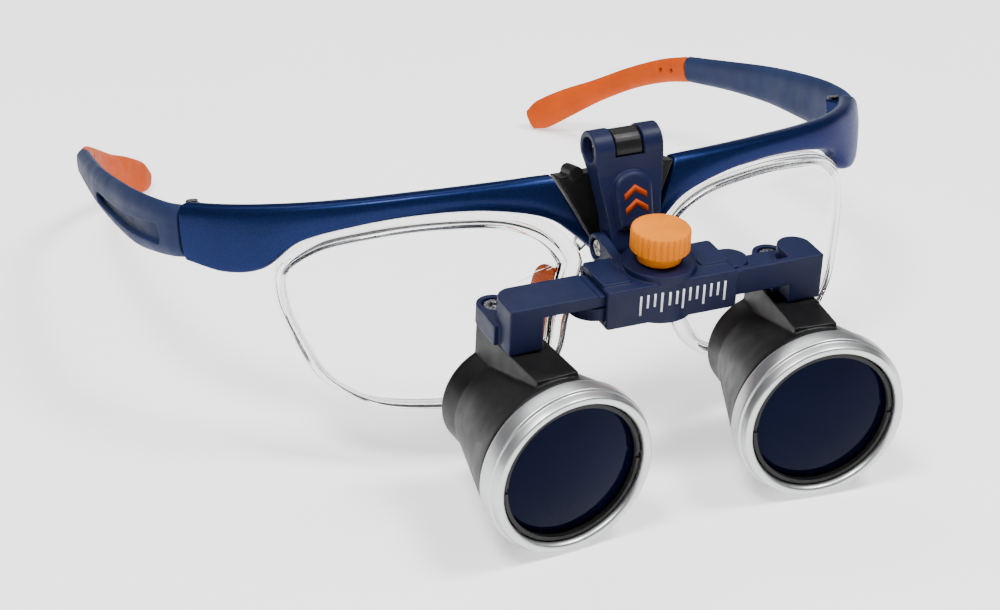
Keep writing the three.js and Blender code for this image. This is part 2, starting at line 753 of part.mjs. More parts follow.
function nosePadArm() {
  const path = smooth([v3(12.2, rimDepth + 1.2, -20.5), v3(14.6, 5.3, -19.8), v3(16.4, 7.2, -19),
    v3(16, 8.5, -18.9), v3(14.25, 8.8, -18.8)]);
  const rings = path.getPoints(8).map((p, i, all) => {
    const t = all[Math.min(i + 1, all.length - 1)].clone().sub(all[Math.max(i - 1, 0)]).normalize();
    const u = v3(0, 0, 1).cross(t).normalize();
    const w = t.clone().cross(u);
    const ring = [];
    for (let j = 0; j < 8; j += 1) {
      const a = (2 * Math.PI * j) / 8;
      ring.push(p.clone().addScaledVector(u, 0.5 * Math.cos(a)).addScaledVector(w, 0.5 * Math.sin(a)));
    }
    return ring;
  });
  return loft(rings);
}

// ---------------------------------------------------------------- temples
// Outer face in plan with the height's middle: x, y, z, then half height and thickness.
const templeStations = [
  [75.5, 36.55, -0.45, 5.3, 3.4], [77.2, 39.5, -0.45, 5.4, 3.5], [79.0, 46, -0.4, 5.6, 3.6],
  [80.3, 55, -0.3, 5.7, 3.7], [80.6, 66, 0.2, 5.2, 3.7], [80.1, 80, 0.8, 4.3, 3.6],
  [78.2, 96, 0.9, 3.5, 3.4], [75.9, 111.2, 0.7, 3.1, 3.2],
];
const tipStations = [
  [75.75, 111.9, 0.65, 3.1, 3.3], [73.2, 120, -0.4, 2.9, 3.4], [69.0, 130, -3.0, 2.7, 3.5],
  [63.6, 139, -6.6, 2.8, 3.6], [58.2, 146, -9.9, 3.5, 3.7], [53.6, 151, -12.8, 3.7, 3.6],
  [51.0, 153.6, -14.4, 2.5, 2.8],
];

function templeRings(stations, steps, rounding = 0.35) {
  const path = smooth(stations.map(([x, y, z]) => v3(x, y, z)));
  const sizes = smooth(stations.map(([, , , half, thick], i) => v3(half, thick, i)));
  const rings = [];
  for (let i = 0; i <= steps; i += 1) {
    const u = i / steps;
    const p = path.getPoint(u);
    const t = path.getTangent(u);
    const size = sizes.getPoint(u);
    const flat = Math.hypot(t.x, t.y);
    const inward = v3(-t.y / flat, t.x / flat, 0);
    const up = v3(0, 0, 1).addScaledVector(v3(t.x, t.y, 0), -t.z / flat).normalize();
    const [h, w] = [size.x, size.y];
    const r = rounding;
    const section = [
      [-1, 0.5], [-1 + r * 0.7, 0.1], [-0.3, 0], [0.3, 0], [1 - r * 0.7, 0.1], [1, 0.5],
      [1 - r * 0.7, 0.9], [0, 1], [-1 + r * 0.7, 0.9],
    ];
    rings.push(section.map(([high, deep]) =>
      p.clone().addScaledVector(up, high * h).addScaledVector(inward, deep * w)));
  }
  return rings;
}

function temple() {
  const body = loft(templeRings(templeStations, 16));
  const knuckleWeb = pushed("z", linkOutline(hingePin, 1.7, [74.6, 41.6], 1.4, 8), -1.6, 1.6);
  const pocketPath = smooth(templeStations.slice(2, 6).map(([x, y, z]) => v3(x, y, z - 0.9)));
  const pocketRings = [];
  for (let i = 0; i <= 8; i += 1) {
    const u = i / 8;
    const p = pocketPath.getPoint(u);
    const t = pocketPath.getTangent(u);
    const flat = Math.hypot(t.x, t.y);
    const outward = v3(t.y / flat, -t.x / flat, 0);
    const half = (2.3 - 1.1 * u) * Math.min(1, 0.45 + 6 * u, 0.45 + 8 * (1 - u));
    pocketRings.push([[-half, -1.3], [half, -1.3], [half, 2], [-half, 2]].map(([high, out]) =>
      p.clone().addScaledVector(v3(0, 0, 1), high).addScaledVector(outward, out)));
  }
  return cut(
    join(body, knuckleWeb),
    rod("z", hingePin, 1.6, 7, 2.05, 24),
    rod("z", hingePin, -7, -1.6, 2.05, 24),
    rod("z", hingePin, -7, 7, hingePinRadius + 0.25, 12),
    loft(pocketRings),
  );
}

function templeTip() {
  return loft(templeRings(tipStations, 14, 0.45));
}

function pinForHinge() {
  return join(
    rod("z", hingePin, -4.9, 4.5, hingePinRadius, 12),
    rod("z", hingePin, 4.5, 5.0, 1.2, 16),
  );
}

function bridgeScrew() {
  const head = rod("y", [6.2, 4.2], 2.3, 3.4, 1.7, 20);
  const socket = rod("y", [6.2, 4.2], 2.9, 4.4, 0.75, 6);
  return cut(head, socket);
}

// ---------------------------------------------------------------- assembly
const object = new THREE.Group();
object.rotation.x = restTilt;
object.position.set(0, depthShift, liftOff);

const frame = new THREE.Group();
frame.position.set(...frameOrigin);
frame.rotation.x = -framePitch;
object.add(frame);

const crossbar = new THREE.Group();
object.add(crossbar);

const sides = [["left", -1], ["right", 1]];
const sided = (manifold, side) => (side < 0 ? mirrorX(manifold) : manifold);

for (const [name, side] of sides) {
  frame.add(
    piece(`brow_bar_${name}`, sided(browBar(), side), metallicBlue),
    piece(`insert_rim_${name}`, sided(insertRim(), side), clearPlastic),
    piece(`insert_lens_${name}`, sided(insertLens(), side), clearGlass),
    piece(`nose_pad_${name}`, sided(nosePad(), side), orangeRubber),
    piece(`nose_pad_arm_${name}`, sided(nosePadArm(), side), steel),
    piece(`hinge_pin_${name}`, sided(pinForHinge(), side), steel),
    piece(`bridge_screw_${name}`, sided(bridgeScrew(), side), steel),
    piece(`temple_${name}`, sided(temple(), side), matteSlate),
    piece(`temple_tip_${name}`, sided(templeTip(), side), orangeRubber),
  );
}
frame.add(
  piece("bridge_block", join(bridgeBlock(), intoFrame(knuckle())), blackSatin),
  piece("insert_bridge", insertBridge(), clearPlastic),
);

crossbar.add(
  piece("flip_plate", flipPlate(), navyPlastic),
  piece("flip_screw", flipScrew(), steel),
  piece("tilt_screw", tiltScrew(), steel),
  piece("pd_housing", housing(), navyPlastic),
  piece("pd_knob", knob(), amberPlastic),
  piece("pinion_shaft", pinionShaft(), steel),
  piece("arm_left", leftArm(), navyPlastic),
  piece("arm_right", rightArm(), navyPlastic),
);

for (const [name, side] of sides) {
  crossbar.add(piece(`clamp_screw_${name}`, clampScrew(side), steel));
  const telescope = new THREE.Group();
  telescope.position.set(side * objectiveHalfSpan, 0, 0);
  telescope.rotation.z = -side * toeIn;
  const lugInBarrel = new THREE.Vector3(...lugAxis(side), 0)
    .sub(telescope.position)
    .applyAxisAngle(v3(0, 0, 1), side * toeIn);
  const screwWay = rod("z", [lugInBarrel.x, lugInBarrel.y], 12, 18, 1.35, 16);
  telescope.add(
    piece(`ocular_barrel_${name}`, cut(barrel(), screwWay), blackSatin),
    piece(`front_ring_${name}`, frontRing(), satinAluminium),
    piece(`retaining_ring_${name}`, retainingRing(), blackSatin),
    piece(`objective_lens_${name}`, objectiveLens(), coatedGlass),
    piece(`eyepiece_lens_${name}`, eyepieceLens(), clearGlass),
    piece(`eyepiece_ring_${name}`, eyepieceRing(), blackSatin),
  );
  crossbar.add(telescope);
}

export default object;
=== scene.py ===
import math

import bmesh
import bpy
import numpy as np
from mathutils import Matrix, Vector


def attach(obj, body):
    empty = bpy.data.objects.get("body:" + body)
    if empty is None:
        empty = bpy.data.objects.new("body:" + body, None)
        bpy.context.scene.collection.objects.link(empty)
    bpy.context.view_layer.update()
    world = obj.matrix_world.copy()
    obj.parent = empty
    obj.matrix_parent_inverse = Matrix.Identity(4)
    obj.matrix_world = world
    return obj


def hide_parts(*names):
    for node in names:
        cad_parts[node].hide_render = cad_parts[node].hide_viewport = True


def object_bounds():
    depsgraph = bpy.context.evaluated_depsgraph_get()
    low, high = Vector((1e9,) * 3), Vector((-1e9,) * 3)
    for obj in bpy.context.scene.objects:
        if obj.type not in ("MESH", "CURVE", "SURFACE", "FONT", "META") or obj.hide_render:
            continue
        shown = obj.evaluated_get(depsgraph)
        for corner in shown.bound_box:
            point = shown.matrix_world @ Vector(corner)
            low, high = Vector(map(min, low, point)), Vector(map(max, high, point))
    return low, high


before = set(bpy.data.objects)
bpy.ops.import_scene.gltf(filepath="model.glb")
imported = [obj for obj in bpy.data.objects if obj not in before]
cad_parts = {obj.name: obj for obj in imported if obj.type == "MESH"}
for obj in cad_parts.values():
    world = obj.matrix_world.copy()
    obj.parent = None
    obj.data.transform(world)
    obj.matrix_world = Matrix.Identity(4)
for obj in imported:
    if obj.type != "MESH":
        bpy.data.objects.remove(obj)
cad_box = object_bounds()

# ---------------------------------------------------------------- dimensions, in millimetres
MM = 0.001
REST_TILT = math.radians(3.5)
FRAME_PITCH = math.radians(16)
FRAME_ORIGIN = (0, 41.05, 30)
DEPTH_SHIFT = -91.884
LIFT_OFF = 16.785
OBJECTIVE_HALF_SPAN = 25.9
TOE_IN = math.radians(5.14)
WRAP_RADIUS = 104
BAR_THICKNESS = 3.6
RIM_DEPTH = 3.4
BARREL_END = 30.9
REAR_BORE = 9.4
FRONT_BORE = 14.3
KNOB_CENTRE = 21.6
HOUSING_TOP = 26.7
COLLAR_TOP = 28.0
COLLAR_RADIUS = 6.95
HOUSING_FRONT = 15.1
FLIP_PIVOT = (39.4, 43.3)
TILT_PIVOT = (32.8, 26.0)
HINGE_PIN = (71.4, 38.9)
HINGE_EYE = 1.7
HINGE_CLEARANCE = 2.05
HINGE_BORE = 0.85
FLOOR_HALF = 2.5
SIDES = (("left", -1), ("right", 1))

CROSSBAR = (Matrix.Translation((0, DEPTH_SHIFT * MM, LIFT_OFF * MM))
            @ Matrix.Rotation(REST_TILT, 4, "X") @ Matrix.Scale(MM, 4))
SPECTACLES = CROSSBAR @ Matrix.Translation(FRAME_ORIGIN) @ Matrix.Rotation(-FRAME_PITCH, 4, "X")


def telescope_place(side):
    return (CROSSBAR @ Matrix.Translation((side * OBJECTIVE_HALF_SPAN, 0, 0))
            @ Matrix.Rotation(-side * TOE_IN, 4, "Z"))


# ---------------------------------------------------------------- curves
def spline(points, count, closed=False):
    """Centripetal Catmull-Rom through the points: count + 1 samples, or count on a closed one."""
    p = np.array(points, float)
    n = len(p)
    spans = n if closed else n - 1
    samples = []
    for i in range(count if closed else count + 1):
        at = spans * i / count
        k = min(int(at), spans - 1)
        t = at - k
        if closed:
            a, b, c, d = p[(k - 1) % n], p[k % n], p[(k + 1) % n], p[(k + 2) % n]
        else:
            b, c = p[k], p[k + 1]
            a = p[k - 1] if k > 0 else 2 * b - c
            d = p[k + 2] if k + 2 < n else 2 * c - b
        da, db, dc = (max(np.linalg.norm(v) ** 0.5, 1e-4) for v in (b - a, c - b, d - c))
        into = ((b - a) / da - (c - a) / (da + db) + (c - b) / db) * db
        out = ((c - b) / db - (d - b) / (db + dc) + (d - c) / dc) * db
        samples.append((2 * t**3 - 3 * t**2 + 1) * b + (t**3 - 2 * t**2 + t) * into
                       + (3 * t**2 - 2 * t**3) * c + (t**3 - t**2) * out)
    return np.array(samples)


def link_outline(a, ra, b, rb, steps=40):
    """The outline round two circles."""
    along = math.atan2(b[1] - a[1], b[0] - a[0])
    lean = math.acos((ra - rb) / math.dist(a, b))
    points = []
    for i in range(steps + 1):
        t = along + lean + (2 * math.pi - 2 * lean) * i / steps
        points.append((a[0] + ra * math.cos(t), a[1] + ra * math.sin(t)))
    for i in range(steps + 1):
        t = along - lean + 2 * lean * i / steps
        points.append((b[0] + rb * math.cos(t), b[1] + rb * math.sin(t)))
    return points


# ---------------------------------------------------------------- solids, built in millimetres
def solid(name, vertices, faces, turning=None):
    mesh = bpy.data.meshes.new(name)
    mesh.from_pydata([tuple(v) for v in vertices], [], faces)
    if turning is not None:
        track = mesh.attributes.new("turning", "FLOAT", "POINT")
        track.data.foreach_set("value", np.array(turning, np.float32))
    bm = bmesh.new()
    bm.from_mesh(mesh)
    bmesh.ops.remove_doubles(bm, verts=bm.verts, dist=1e-4)
    bmesh.ops.recalc_face_normals(bm, faces=bm.faces)
    bm.to_mesh(mesh)
    bm.free()
    shape = bpy.data.objects.new(name, mesh)
    bpy.context.scene.collection.objects.link(shape)
    return shape


def loft(name, rings, endless=False, turning=None):
    count = len(rings[0])
    vertices = [v for ring in rings for v in ring]
    faces = []
    for i in range(len(rings) if endless else len(rings) - 1):
        here = i * count
        there = ((i + 1) % len(rings)) * count
        for j in range(count):
            k = (j + 1) % count
            faces.append((here + j, there + j, there + k, here + k))
    if not endless:
        faces.append(tuple(range(count)))
        faces.append(tuple(range(len(vertices) - 1, len(vertices) - 1 - count, -1)))
    return solid(name, vertices, faces, turning)


def turned(name, profile, segments=160):
    """A ring or disc turned about Y from a closed profile of (radius, y)."""
    lengths = [0.0]
    for a, b in zip(profile, profile[1:]):
        lengths.append(lengths[-1] + math.dist(a, b))
    rings = []
    for i in range(segments):
        a = 2 * math.pi * i / segments
        rings.append([(r * math.cos(a), y, r * math.sin(a)) for r, y in profile])
    return loft(name, rings, endless=True, turning=lengths * segments)


def rounded_profile(corners, radius=0.18, steps=4):
    """A closed profile of (radius, y) with its corners rounded. Corners on the axis stay."""
    points = []
    n = len(corners)
    for i, corner in enumerate(corners):
        here = np.array(corner, float)
        if corner[0] < 1e-6:
            points.append(tuple(here))
            continue
        before = np.array(corners[i - 1], float) - here
        after = np.array(corners[(i + 1) % n], float) - here
        reach = min(radius, 0.45 * np.linalg.norm(before), 0.45 * np.linalg.norm(after))
        start = here + before / np.linalg.norm(before) * reach
        end = here + after / np.linalg.norm(after) * reach
        for s in range(steps + 1):
            t = s / steps
            points.append(tuple((1 - t) ** 2 * start + 2 * t * (1 - t) * here + t**2 * end))
    return [*points, points[0]]


def pushed(name, axis, outline, low, high):
    """An outline pushed along an axis: "x" reads it as (y, z), "y" as (x, z), "z" as (x, y)."""
    order = {"x": (2, 0, 1), "y": (0, 2, 1), "z": (0, 1, 2)}[axis]
    rings = []
    for depth in (low, high):
        rings.append([tuple((a, b, depth)[i] for i in order) for a, b in outline])
    return loft(name, rings)


def rod(name, axis, at, low, high, radius, sides=96):
    circle = [(at[0] + radius * math.cos(2 * math.pi * i / sides),
               at[1] + radius * math.sin(2 * math.pi * i / sides)) for i in range(sides)]
    return pushed(name, axis, circle, low, high)


def block(name, low, high):
    corners = [(low[0], low[1]), (high[0], low[1]), (high[0], high[1]), (low[0], high[1])]
    return pushed(name, "z", corners, low[2], high[2])


def copy_of(node, name, place):
    """The CAD node's own shape, back in millimetres in the group's own frame."""
    shape = bpy.data.objects.new(name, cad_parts[node].data.copy())
    shape.data.materials.clear()
    shape.data.transform(place.inverted())
    bpy.context.scene.collection.objects.link(shape)
    return shape


def applied(shape):
    """Bakes the shape's modifiers into its mesh."""
    evaluated = shape.evaluated_get(bpy.context.evaluated_depsgraph_get())
    mesh = bpy.data.meshes.new_from_object(evaluated)
    shape.modifiers.clear()
    shape.data = mesh
    return shape


def combine(shape, others, operation):
    for other in others:
        step = shape.modifiers.new(operation, "BOOLEAN")
        step.operation = operation
        step.solver = "EXACT"
        step.object = other
        applied(shape)
        bpy.data.objects.remove(other)
    return shape


def soften(shape, voxel=0.15, passes=10):
    """Moulded edges: a fine even skin over the shape, smoothed until its edges are round."""
    skin = shape.modifiers.new("skin", "REMESH")
    skin.mode = "VOXEL"
    skin.voxel_size = voxel
    relax = shape.modifiers.new("relax", "SMOOTH")
    relax.factor = 0.5
    relax.iterations = passes
    return applied(shape)


def finish_piece(shape, place, body, material, replaces=()):
    shape.data.transform(place)
    shape.data.shade_smooth()
    shape.data.materials.clear()
    shape.data.materials.append(material)
    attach(shape, body)
    if replaces:
        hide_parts(*replaces)
    return shape


def mirrored(shape, side):
    if side < 0:
        shape.data.transform(Matrix.Scale(-1, 4, (1, 0, 0)))
        shape.data.flip_normals()
    return shape


# ---------------------------------------------------------------- materials
def new_material(name, color, roughness, metallic=0.0):
    material = bpy.data.materials.new(name)
    material.use_nodes = True
    shader = material.node_tree.nodes["Principled BSDF"]
    shader.inputs["Base Color"].default_value = (*color, 1)
    shader.inputs["Roughness"].default_value = roughness
    shader.inputs["Metallic"].default_value = metallic
    return material, shader


def link(material, source, target):
    material.node_tree.links.new(source, target)


def noise(material, size_mm, detail=3.0, stretch=(1, 1, 1)):
    """Noise with features of about size_mm, fixed to the piece."""
    nodes = material.node_tree.nodes
    place = nodes.new("ShaderNodeTexCoord")
    mapping = nodes.new("ShaderNodeMapping")
    mapping.inputs["Scale"].default_value = stretch
    texture = nodes.new("ShaderNodeTexNoise")
    texture.inputs["Scale"].default_value = 1 / (size_mm * MM)
    texture.inputs["Detail"].default_value = detail
    link(material, place.outputs["Object"], mapping.inputs["Vector"])
    link(material, mapping.outputs["Vector"], texture.inputs["Vector"])
    return texture.outputs["Fac"]


def spread(material, value, low, high, from_low=0.3, from_high=0.7):
    """Maps a 0 to 1 pattern to a range."""
    node = material.node_tree.nodes.new("ShaderNodeMapRange")
    node.inputs["From Min"].default_value = from_low
    node.inputs["From Max"].default_value = from_high
    node.inputs["To Min"].default_value = low
    node.inputs["To Max"].default_value = high
    link(material, value, node.inputs["Value"])
    return node.outputs["Result"]


def mixed(material, share, first, second):
    """Mixes two colours; either may be a constant or another node's output."""
    node = material.node_tree.nodes.new("ShaderNodeMix")
    node.data_type = "RGBA"
    link(material, share, node.inputs["Factor"])
    for socket, value in ((node.inputs["A"], first), (node.inputs["B"], second)):
        if isinstance(value, bpy.types.NodeSocket):
            link(material, value, socket)
        else:
            socket.default_value = (*value, 1)
    return node.outputs["Result"]


def bump(material, shader, height, depth_mm, strength=1.0):
    node = material.node_tree.nodes.new("ShaderNodeBump")
    node.inputs["Distance"].default_value = depth_mm * MM
    node.inputs["Strength"].default_value = strength
    link(material, height, node.inputs["Height"])
    link(material, node.outputs["Normal"], shader.inputs["Normal"])


def rubbed_edges(material, low=0.52, high=0.6):
    """Where handling has rubbed the edges bright, from 0 to 1."""
    shape = material.node_tree.nodes.new("ShaderNodeNewGeometry")
    edges = spread(material, shape.outputs["Pointiness"], 0, 1, low, high)
    patches = spread(material, noise(material, 2.5), 0.1, 1)
    product = material.node_tree.nodes.new("ShaderNodeMath")
    product.operation = "MULTIPLY"
    link(material, edges, product.inputs[0])
    link(material, patches, product.inputs[1])
    return product.outputs["Value"]


def scaled(color, factor):
    return tuple(min(1.0, c * factor) for c in color)


def moulded(name, color, roughness, grain_mm=0.25, grain_depth=0.006, edge=1.5, shine=0.26):
    """Satin moulded plastic with a fine spark-eroded grain, slight mottling and rubbed edges."""
    material, shader = new_material(name, color, roughness)
    shader.inputs["Specular IOR Level"].default_value = shine
    mottle = spread(material, noise(material, 9), 0, 1)
    body = mixed(material, mottle, scaled(color, 0.86), scaled(color, 1.12))
    worn = mixed(material, rubbed_edges(material), body, scaled(color, edge))
    link(material, worn, shader.inputs["Base Color"])
    smudge = spread(material, noise(material, 4, 5), roughness - 0.07, roughness + 0.08)
    link(material, smudge, shader.inputs["Roughness"])
    bump(material, shader, noise(material, grain_mm, 2), grain_depth)
    return material


def lacquer():
    """Blue pearl lacquer: fine flakes under a clear coat, darker in slow random patches."""
    color = (0.0082, 0.0165, 0.069)
    material, shader = new_material("blue_pearl_lacquer", color, 0.36, 0.7)
    shader.inputs["Specular IOR Level"].default_value = 0.15
    shader.inputs["Specular Tint"].default_value = (0.2, 0.26, 0.46, 1)
    nodes = material.node_tree.nodes
    place = nodes.new("ShaderNodeTexCoord")
    flakes = nodes.new("ShaderNodeTexVoronoi")
    flakes.inputs["Scale"].default_value = 1 / (0.16 * MM)
    link(material, place.outputs["Object"], flakes.inputs["Vector"])
    shade = nodes.new("ShaderNodeSeparateColor")
    link(material, flakes.outputs["Color"], shade.inputs["Color"])
    glitter = spread(material, shade.outputs["Red"], 0, 1, 0, 1)
    body = mixed(material, glitter, scaled(color, 0.78), scaled(color, 1.3))
    drift = spread(material, noise(material, 14), 0, 0.5)
    body = mixed(material, drift, body, scaled(color, 0.8))
    link(material, body, shader.inputs["Base Color"])
    rough = spread(material, shade.outputs["Green"], 0.3, 0.44, 0, 1)
    link(material, rough, shader.inputs["Roughness"])
    shader.inputs["Coat Weight"].default_value = 0.06
    shader.inputs["Coat Roughness"].default_value = 0.12
    bump(material, shader, noise(material, 1.2, 2), 0.004)
    return material


def turned_metal(name, color, roughness):
    """Bead-blasted aluminium on which the lathe's fine tracks still show."""
    material, shader = new_material(name, color, roughness, 1.0)
    nodes = material.node_tree.nodes
    track = nodes.new("ShaderNodeAttribute")
    track.attribute_name = "turning"
    lines = nodes.new("ShaderNodeTexNoise")
    lines.noise_dimensions = "1D"
    lines.inputs["Scale"].default_value = 9
    lines.inputs["Detail"].default_value = 4
    link(material, track.outputs["Fac"], lines.inputs["W"])
    tracks = spread(material, lines.outputs["Fac"], roughness - 0.06, roughness + 0.08)
    link(material, tracks, shader.inputs["Roughness"])
    stain = spread(material, noise(material, 6, 4), 0, 1)
    link(material, mixed(material, stain, scaled(color, 0.93), color), shader.inputs["Base Color"])
    bump(material, shader, noise(material, 0.18, 2), 0.003)
    return material


def steel(name="nickel_steel", color=(0.27, 0.27, 0.28)):
    material, shader = new_material(name, color, 0.28, 1.0)
    dull = spread(material, noise(material, 0.5, 4), 0.18, 0.4)
    link(material, dull, shader.inputs["Roughness"])
    tint = spread(material, noise(material, 1.5), 0, 1)
    link(material, mixed(material, tint, scaled(color, 0.85), color), shader.inputs["Base Color"])
    bump(material, shader, noise(material, 0.12, 2), 0.002)
    return material


def rubber(name, color):
    """Matt soft-touch rubber with slight mottling."""
    material, shader = new_material(name, color, 0.62)
    shader.inputs["Specular IOR Level"].default_value = 0.12
    mottle = spread(material, noise(material, 7, 4), 0, 1)
    link(material, mixed(material, mottle, scaled(color, 0.86), scaled(color, 1.06)),
         shader.inputs["Base Color"])
    dust = spread(material, noise(material, 2, 5), 0.52, 0.72)
    link(material, dust, shader.inputs["Roughness"])
    bump(material, shader, noise(material, 0.2, 2), 0.006)
    return material


def clear(name, color, roughness, ior, haze_mm=3):
    """Clear polished plastic or glass with faint wipe marks."""
    material, shader = new_material(name, color, roughness)
    shader.inputs["Transmission Weight"].default_value = 1.0
    shader.inputs["IOR"].default_value = ior
    wipe = spread(material, noise(material, haze_mm, 5, (1, 1, 3)), roughness, roughness + 0.05)
    link(material, wipe, shader.inputs["Roughness"])
    bump(material, shader, noise(material, 5, 2), 0.004)
    return material


def coated_glass():
    """The objective: a multicoated lens over a black interior, so nearly all of it reads dark."""
    color = (0.0012, 0.0018, 0.009)
    material, shader = new_material("coated_objective", color, 0.05)
    depth = spread(material, noise(material, 22, 1), 0, 1)
    link(material, mixed(material, depth, scaled(color, 0.6), scaled(color, 1.5)),
         shader.inputs["Base Color"])
    wipe = spread(material, noise(material, 4, 6, (1, 3, 1)), 0.03, 0.12)
    link(material, wipe, shader.inputs["Roughness"])
    shader.inputs["Specular IOR Level"].default_value = 0.08
    shader.inputs["Specular Tint"].default_value = (0.3, 0.4, 1.0, 1)
    return material


BLUE = lacquer()
SLATE = moulded("slate_navy_plastic", (0.014, 0.023, 0.066), 0.58, 0.3, 0.008, 1.6, 0.12)
NAVY = moulded("navy_plastic", (0.0058, 0.0090, 0.037), 0.46, 0.22, 0.005, 2.2, 0.16)
BLACK = moulded("satin_black", (0.0035, 0.0035, 0.0038), 0.45, 0.3, 0.006, 2.4, 0.26)
AMBER = moulded("amber_plastic", (0.72, 0.195, 0.001), 0.5, 0.3, 0.006, 1.1, 0.08)
ORANGE = rubber("orange_rubber", (0.50, 0.062, 0.0006))
RING = turned_metal("satin_aluminium", (0.58, 0.59, 0.60), 0.38)
STEEL = steel()
COPPERY = steel("warm_steel", (0.46, 0.42, 0.39))
BLACKENED = steel("blackened_steel", (0.02, 0.024, 0.034))
CLEAR_PLASTIC = clear("clear_polished_plastic", (0.93, 0.945, 0.93), 0.02, 1.5)
CLEAR_LENS = clear("clear_spectacle_lens", (0.985, 0.995, 0.995), 0.01, 1.2)
EYE_LENS = clear("eyepiece_glass", (0.9, 0.95, 0.93), 0.01, 1.5)
OBJECTIVE = coated_glass()
WHITE_PRINT = moulded("white_print", (0.78, 0.79, 0.8), 0.55, 0.15, 0.004, 1.05)
ORANGE_PRINT = moulded("orange_print", (0.40, 0.045, 0.001), 0.55, 0.15, 0.004, 1.05, 0.1)


# ---------------------------------------------------------------- telescopes
def front_ring(side, name):
    profile = [(14.5, -0.2), (14.62, -0.5), (14.85, -0.78), (15.15, -0.9), (15.75, -0.9),
               (16.0, -0.8), (16.14, -0.55), (16.4, 0.75), (16.44, 0.95), (16.56, 1.03),
               (16.76, 1.1), (16.87, 1.3), (16.9, 1.6), (16.9, 4.25), (16.84, 4.48), (16.65, 4.6),
               (16.05, 4.6), (16.05, 2.4), (14.5, 2.1), (14.5, -0.2)]
    ring = turned(f"ring_{name}", profile, 200)
    finish_piece(ring, telescope_place(side), f"telescope_{name}", RING,
                 [f"front_ring_{name}"])


def retaining_ring(side, name):
    grooves = [(13.4, 0.2), (13.4, 0.4), (13.52, 0.47), (13.4, 0.55), (13.4, 0.75), (13.52, 0.82),
               (13.4, 0.9), (13.4, 1.2), (14.2, 1.2), (14.2, 0.3), (14.1, 0.2), (13.4, 0.2)]
    ring = turned(f"lens_retainer_{name}", grooves, 160)
    slots = [block("slot", (x0, -0.3, -0.6), (x0 + 1.4, 0.6, 0.6)) for x0 in (-14.3, 12.9)]
    combine(ring, slots, "DIFFERENCE")
    finish_piece(ring, telescope_place(side), f"telescope_{name}", BLACK,
                 [f"retaining_ring_{name}"])
    ring.data.shade_flat()


def lens(name, edge, front, back, side, body, material, node):
    """A round lens: front and back give (y in the middle, y at the edge)."""
    steps = 24
    profile = [(edge * i / steps, front[0] + (front[1] - front[0]) * (i / steps) ** 2)
               for i in range(steps + 1)]
    profile += [(edge * i / steps, back[0] + (back[1] - back[0]) * (i / steps) ** 2)
                for i in range(steps, -1, -1)]
    glass = turned(name, [*profile, profile[0]], 128)
    finish_piece(glass, telescope_place(side), body, material, [node])


def eyepiece_ring(side, name):
    outer = REAR_BORE - 0.3
    inner = outer - 1.3
    profile = rounded_profile([(inner, BARREL_END - 1.6), (outer, BARREL_END - 1.6),
                               (outer, BARREL_END), (outer - 0.7, BARREL_END),
                               (inner, BARREL_END - 0.9)], 0.15)
    ring = turned(f"eyepiece_retainer_{name}", profile, 128)
    finish_piece(ring, telescope_place(side), f"telescope_{name}", BLACK,
                 [f"eyepiece_ring_{name}"])


def barrel(side, name):
    tube = turned("tube", [
        (FRONT_BORE, 2.8), (15.7, 2.8), (15.7, 4.9), (16.3, 5.0), (16.35, 5.6), (11.0, 25),
        (11.0, BARREL_END - 0.7), (10.5, BARREL_END), (REAR_BORE, BARREL_END), (REAR_BORE, 25),
        (FRONT_BORE, 8.6), (FRONT_BORE, 2.8)], 180)
    rib = block("rib", (-4.3, 7.2, 8), (4.3, 30.4, 16.5))
    inside = turned("inside", [(0, 2), (FRONT_BORE, 2), (FRONT_BORE, 8.6), (REAR_BORE, 25),
                               (REAR_BORE, 34), (0, 34), (0, 2)], 180)
    combine(tube, [rib], "UNION")
    lug = Vector((side * 28.9 - 1.15 - side * OBJECTIVE_HALF_SPAN, 28.5, 0))
    lug.rotate(Matrix.Rotation(side * TOE_IN, 3, "Z"))
    combine(tube, [inside, rod("way", "z", (lug.x, lug.y), 12, 18, 1.35, 32)], "DIFFERENCE")
    tube.name = f"barrel_{name}"
    soften(tube, 0.22, 5)
    finish_piece(tube, telescope_place(side), f"telescope_{name}", BLACK,
                 [f"ocular_barrel_{name}"])


# ---------------------------------------------------------------- crossbar
def arm(name):
    shape = soften(copy_of(f"arm_{name}", f"slide_arm_{name}", CROSSBAR), 0.14, 9)
    finish_piece(shape, CROSSBAR, f"slider_{name}", NAVY, [f"arm_{name}"])


def screw(node, body, material):
    shape = soften(copy_of(node, f"{node}_head", CROSSBAR), 0.07, 3)
    finish_piece(shape, CROSSBAR, body, material, [node])


def housing():
    shape = copy_of("pd_housing", "crossbar_housing", CROSSBAR)
    for low, high, bore in ((HOUSING_TOP - 0.6, COLLAR_TOP, 2.85), (18.3, 19.9, 1.5)):
        collar = rod("collar", "z", (0, KNOB_CENTRE), low, high, COLLAR_RADIUS)
        combine(collar, [rod("bore", "z", (0, KNOB_CENTRE), low - 1, high + 1, bore)], "DIFFERENCE")
        combine(shape, [collar], "UNION")
    soften(shape, 0.13, 9)
    finish_piece(shape, CROSSBAR, "crossbar", NAVY, ["pd_housing"])


def setting_ticks():
    """A plain scale of long and short marks on the housing's front, following the round collar."""
    marks = []
    for i in range(13):
        x = -6.6 + i * 1.45
        bulge = COLLAR_RADIUS**2 - x * x
        front = min(HOUSING_FRONT, KNOB_CENTRE - math.sqrt(bulge)) if bulge > 0 else HOUSING_FRONT
        low = 20.9 if i % 3 == 0 else 22.2
        marks.append(block("tick", (x - 0.2, front - 0.07, low), (x + 0.2, front + 0.5, 24.9)))
    return joined("setting_ticks", marks)


